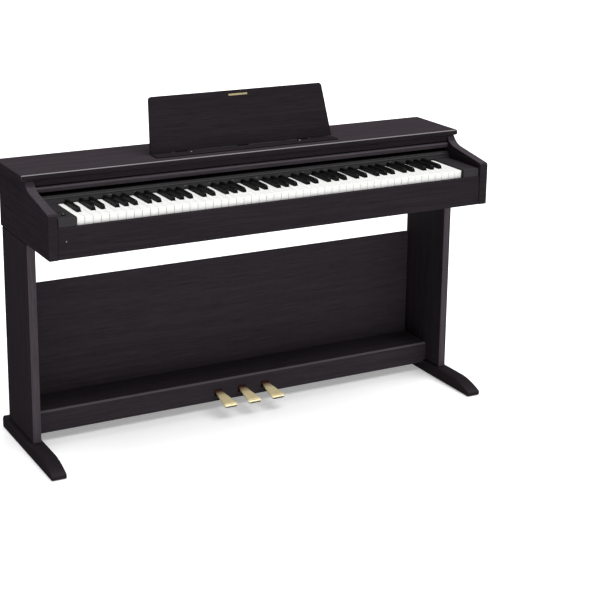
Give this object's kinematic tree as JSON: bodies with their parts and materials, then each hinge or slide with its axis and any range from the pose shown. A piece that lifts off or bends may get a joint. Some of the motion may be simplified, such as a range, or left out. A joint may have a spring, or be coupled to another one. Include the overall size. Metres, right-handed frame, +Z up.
{
  "type": "digital piano",
  "caption": "Digital piano on a panel stand with weighted keys, sliding key cover, folding music rest, modesty panel and pedals in a low box.",
  "frame": {"origin": "on the floor, under the middle of the footprint", "axes": "+X towards the treble end, -Y towards the player, +Z up"},
  "size_m": [1.417, 0.432, 0.9819],
  "materials": {
    "cabinet_film": "satin wood-grain film over board",
    "back_board": "matte dark film over board",
    "panel": "satin black moulding",
    "white_key": "satin white key plastic",
    "black_key": "fine matte black key plastic",
    "pedal_brass": "polished",
    "plated_steel": "zinc plated",
    "black_plastic": "fine texture",
    "speaker": "matte cone and basket",
    "circuit": "solder mask"
  },
  "bodies": {
    "cabinet": {"fallboard": "panel", "fascia": "cabinet_film", "headphone_box": "black_plastic", "key_chassis": "plated_steel", "key_slip": "cabinet_film", "keybed": "back_board", "left_arm": "cabinet_film", "left_cheek": "panel", "left_foot": "cabinet_film", "left_leg_panel": "cabinet_film", "left_speaker": "speaker", "main_board": "circuit", "modesty_panel": "back_board", "pedal_box": "cabinet_film", "pedal_rod": "plated_steel", "rear_panel": "back_board", "rest_hinge": "plated_steel", "rest_ledge": "cabinet_film", "right_arm": "cabinet_film", "right_cheek": "panel", "right_foot": "cabinet_film", "right_leg_panel": "cabinet_film", "right_speaker": "speaker", "socket_plate": "black_plastic", "top_board": "cabinet_film"},
    "key_cover": {"key_cover": "cabinet_film", "cover_bar": "cabinet_film"},
    "music_rest": {"music_rest": "cabinet_film"},
    "left_rest_strut": {"left_rest_strut": "black_plastic"},
    "right_rest_strut": {"right_rest_strut": "black_plastic"},
    "soft_pedal": {"soft_pedal": "pedal_brass"},
    "sostenuto_pedal": {"sostenuto_pedal": "pedal_brass"},
    "damper_pedal": {"damper_pedal": "pedal_brass"},
    "pedal_adjuster": {"pedal_adjuster": "black_plastic"},
    "volume_knob": {"volume_knob": "black_plastic"},
    "power_button": {"power_button": "black_plastic"},
    "key_A4": {"key_A4": "white_key"},
    "key_A_sharp4": {"key_A_sharp4": "black_key"},
    "key_B4": {"key_B4": "white_key"},
    "key_C4": {"key_C4": "white_key"},
    "key_C_sharp4": {"key_C_sharp4": "black_key"},
    "key_D4": {"key_D4": "white_key"},
    "key_D_sharp4": {"key_D_sharp4": "black_key"},
    "key_E4": {"key_E4": "white_key"},
    "key_F4": {"key_F4": "white_key"},
    "key_F_sharp4": {"key_F_sharp4": "black_key"},
    "key_G4": {"key_G4": "white_key"},
    "key_G_sharp4": {"key_G_sharp4": "black_key"},
    "naturals_octave_1": {"naturals_octave_1": "white_key"},
    "naturals_octave_2": {"naturals_octave_2": "white_key"},
    "naturals_octave_3": {"naturals_octave_3": "white_key"},
    "naturals_octave_5": {"naturals_octave_5": "white_key"},
    "naturals_octave_6": {"naturals_octave_6": "white_key"},
    "naturals_octave_7": {"naturals_octave_7": "white_key"},
    "sharps_octave_1": {"sharps_octave_1": "black_key"},
    "sharps_octave_2": {"sharps_octave_2": "black_key"},
    "sharps_octave_3": {"sharps_octave_3": "black_key"},
    "sharps_octave_5": {"sharps_octave_5": "black_key"},
    "sharps_octave_6": {"sharps_octave_6": "black_key"},
    "sharps_octave_7": {"sharps_octave_7": "black_key"}
  },
  "joints": [
    {"name": "cover_slide", "type": "slide", "parent": "cabinet", "child": "key_cover", "axis": [0, -0.986, -0.1668], "range_m": [0, 0.168]},
    {"name": "music_rest_fold", "type": "hinge", "parent": "cabinet", "child": "music_rest", "pos_m": [0, 0.04373, 0.8262], "axis": [-1, 0, 0], "range_deg": [0, 72]},
    {"name": "left_strut_fold", "type": "hinge", "parent": "music_rest", "child": "left_rest_strut", "pos_m": [-0.16, 0.06075, 0.88374], "axis": [1, 0, 0], "range_deg": [0, 135]},
    {"name": "right_strut_fold", "type": "hinge", "parent": "music_rest", "child": "right_rest_strut", "pos_m": [0.16, 0.06075, 0.88374], "axis": [1, 0, 0], "range_deg": [0, 135]},
    {"name": "soft_pedal_press", "type": "hinge", "parent": "cabinet", "child": "soft_pedal", "pos_m": [-0.08, 0.12, 0.068], "axis": [1, 0, 0], "range_deg": [0, 4.5], "stiffness_Nm_per_rad": 8, "springref_deg": -8.59},
    {"name": "sostenuto_pedal_press", "type": "hinge", "parent": "cabinet", "child": "sostenuto_pedal", "pos_m": [0, 0.12, 0.068], "axis": [1, 0, 0], "range_deg": [0, 4.5], "stiffness_Nm_per_rad": 8, "springref_deg": -8.59},
    {"name": "damper_pedal_press", "type": "hinge", "parent": "cabinet", "child": "damper_pedal", "pos_m": [0.08, 0.12, 0.068], "axis": [1, 0, 0], "range_deg": [0, 4.5], "stiffness_Nm_per_rad": 8, "springref_deg": -8.59},
    {"name": "adjuster_lift", "type": "slide", "parent": "cabinet", "child": "pedal_adjuster", "axis": [0, 0, 1], "range_m": [0, 0.008]},
    {"name": "volume_turn", "type": "hinge", "parent": "cabinet", "child": "volume_knob", "pos_m": [-0.64155, -0.178, 0.738], "axis": [0, 0, -1], "range_deg": [-150, 150]},
    {"name": "power_press", "type": "slide", "parent": "cabinet", "child": "power_button", "axis": [0, 0, -1], "range_m": [0, 0.0015], "stiffness_N_per_m": 300, "springref_m": -0.001},
    {"name": "key_A4_press", "type": "hinge", "parent": "cabinet", "child": "key_A4", "pos_m": [0.059, 0.024, 0.7165], "axis": [1, 0, 0], "range_deg": [0, 2.6], "stiffness_Nm_per_rad": 1.2, "springref_deg": -11.46},
    {"name": "key_A_sharp4_press", "type": "hinge", "parent": "cabinet", "child": "key_A_sharp4", "pos_m": [0.07422, 0.024, 0.7165], "axis": [1, 0, 0], "range_deg": [0, 3.1], "stiffness_Nm_per_rad": 0.8, "springref_deg": -11.46},
    {"name": "key_B4_press", "type": "hinge", "parent": "cabinet", "child": "key_B4", "pos_m": [0.0826, 0.024, 0.7165], "axis": [1, 0, 0], "range_deg": [0, 2.6], "stiffness_Nm_per_rad": 1.2, "springref_deg": -11.46},
    {"name": "key_C4_press", "type": "hinge", "parent": "cabinet", "child": "key_C4", "pos_m": [-0.059, 0.024, 0.7165], "axis": [1, 0, 0], "range_deg": [0, 2.6], "stiffness_Nm_per_rad": 1.2, "springref_deg": -11.46},
    {"name": "key_C_sharp4_press", "type": "hinge", "parent": "cabinet", "child": "key_C_sharp4", "pos_m": [-0.04948, 0.024, 0.7165], "axis": [1, 0, 0], "range_deg": [0, 3.1], "stiffness_Nm_per_rad": 0.8, "springref_deg": -11.46},
    {"name": "key_D4_press", "type": "hinge", "parent": "cabinet", "child": "key_D4", "pos_m": [-0.0354, 0.024, 0.7165], "axis": [1, 0, 0], "range_deg": [0, 2.6], "stiffness_Nm_per_rad": 1.2, "springref_deg": -11.46},
    {"name": "key_D_sharp4_press", "type": "hinge", "parent": "cabinet", "child": "key_D_sharp4", "pos_m": [-0.02132, 0.024, 0.7165], "axis": [1, 0, 0], "range_deg": [0, 3.1], "stiffness_Nm_per_rad": 0.8, "springref_deg": -11.46},
    {"name": "key_E4_press", "type": "hinge", "parent": "cabinet", "child": "key_E4", "pos_m": [-0.0118, 0.024, 0.7165], "axis": [1, 0, 0], "range_deg": [0, 2.6], "stiffness_Nm_per_rad": 1.2, "springref_deg": -11.46},
    {"name": "key_F4_press", "type": "hinge", "parent": "cabinet", "child": "key_F4", "pos_m": [0.0118, 0.024, 0.7165], "axis": [1, 0, 0], "range_deg": [0, 2.6], "stiffness_Nm_per_rad": 1.2, "springref_deg": -11.46},
    {"name": "key_F_sharp4_press", "type": "hinge", "parent": "cabinet", "child": "key_F_sharp4", "pos_m": [0.02017, 0.024, 0.7165], "axis": [1, 0, 0], "range_deg": [0, 3.1], "stiffness_Nm_per_rad": 0.8, "springref_deg": -11.46},
    {"name": "key_G4_press", "type": "hinge", "parent": "cabinet", "child": "key_G4", "pos_m": [0.0354, 0.024, 0.7165], "axis": [1, 0, 0], "range_deg": [0, 2.6], "stiffness_Nm_per_rad": 1.2, "springref_deg": -11.46},
    {"name": "key_G_sharp4_press", "type": "hinge", "parent": "cabinet", "child": "key_G_sharp4", "pos_m": [0.0472, 0.024, 0.7165], "axis": [1, 0, 0], "range_deg": [0, 3.1], "stiffness_Nm_per_rad": 0.8, "springref_deg": -11.46},
    {"name": "naturals_octave_1_press", "type": "hinge", "parent": "cabinet", "child": "naturals_octave_1", "pos_m": [-0.6136, 0.024, 0.7165], "axis": [1, 0, 0], "range_deg": [0, 2.6], "stiffness_Nm_per_rad": 10.8, "springref_deg": -11.46},
    {"name": "naturals_octave_2_press", "type": "hinge", "parent": "cabinet", "child": "naturals_octave_2", "pos_m": [-0.4012, 0.024, 0.7165], "axis": [1, 0, 0], "range_deg": [0, 2.6], "stiffness_Nm_per_rad": 8.4, "springref_deg": -11.46},
    {"name": "naturals_octave_3_press", "type": "hinge", "parent": "cabinet", "child": "naturals_octave_3", "pos_m": [-0.236, 0.024, 0.7165], "axis": [1, 0, 0], "range_deg": [0, 2.6], "stiffness_Nm_per_rad": 8.4, "springref_deg": -11.46},
    {"name": "naturals_octave_5_press", "type": "hinge", "parent": "cabinet", "child": "naturals_octave_5", "pos_m": [0.0944, 0.024, 0.7165], "axis": [1, 0, 0], "range_deg": [0, 2.6], "stiffness_Nm_per_rad": 8.4, "springref_deg": -11.46},
    {"name": "naturals_octave_6_press", "type": "hinge", "parent": "cabinet", "child": "naturals_octave_6", "pos_m": [0.2596, 0.024, 0.7165], "axis": [1, 0, 0], "range_deg": [0, 2.6], "stiffness_Nm_per_rad": 8.4, "springref_deg": -11.46},
    {"name": "naturals_octave_7_press", "type": "hinge", "parent": "cabinet", "child": "naturals_octave_7", "pos_m": [0.4248, 0.024, 0.7165], "axis": [1, 0, 0], "range_deg": [0, 2.6], "stiffness_Nm_per_rad": 9.6, "springref_deg": -11.46},
    {"name": "sharps_octave_1_press", "type": "hinge", "parent": "cabinet", "child": "sharps_octave_1", "pos_m": [-0.6136, 0.024, 0.7165], "axis": [1, 0, 0], "range_deg": [0, 3.1], "stiffness_Nm_per_rad": 4.8, "springref_deg": -11.46},
    {"name": "sharps_octave_2_press", "type": "hinge", "parent": "cabinet", "child": "sharps_octave_2", "pos_m": [-0.4012, 0.024, 0.7165], "axis": [1, 0, 0], "range_deg": [0, 3.1], "stiffness_Nm_per_rad": 4, "springref_deg": -11.46},
    {"name": "sharps_octave_3_press", "type": "hinge", "parent": "cabinet", "child": "sharps_octave_3", "pos_m": [-0.236, 0.024, 0.7165], "axis": [1, 0, 0], "range_deg": [0, 3.1], "stiffness_Nm_per_rad": 4, "springref_deg": -11.46},
    {"name": "sharps_octave_5_press", "type": "hinge", "parent": "cabinet", "child": "sharps_octave_5", "pos_m": [0.0944, 0.024, 0.7165], "axis": [1, 0, 0], "range_deg": [0, 3.1], "stiffness_Nm_per_rad": 4, "springref_deg": -11.46},
    {"name": "sharps_octave_6_press", "type": "hinge", "parent": "cabinet", "child": "sharps_octave_6", "pos_m": [0.2596, 0.024, 0.7165], "axis": [1, 0, 0], "range_deg": [0, 3.1], "stiffness_Nm_per_rad": 4, "springref_deg": -11.46},
    {"name": "sharps_octave_7_press", "type": "hinge", "parent": "cabinet", "child": "sharps_octave_7", "pos_m": [0.4248, 0.024, 0.7165], "axis": [1, 0, 0], "range_deg": [0, 3.1], "stiffness_Nm_per_rad": 4, "springref_deg": -11.46}
  ],
  "couplings": [
    {"joint": "left_strut_fold", "follows": "music_rest_fold", "ratio": 1.8611},
    {"joint": "right_strut_fold", "follows": "music_rest_fold", "ratio": 1.8611}
  ]
}
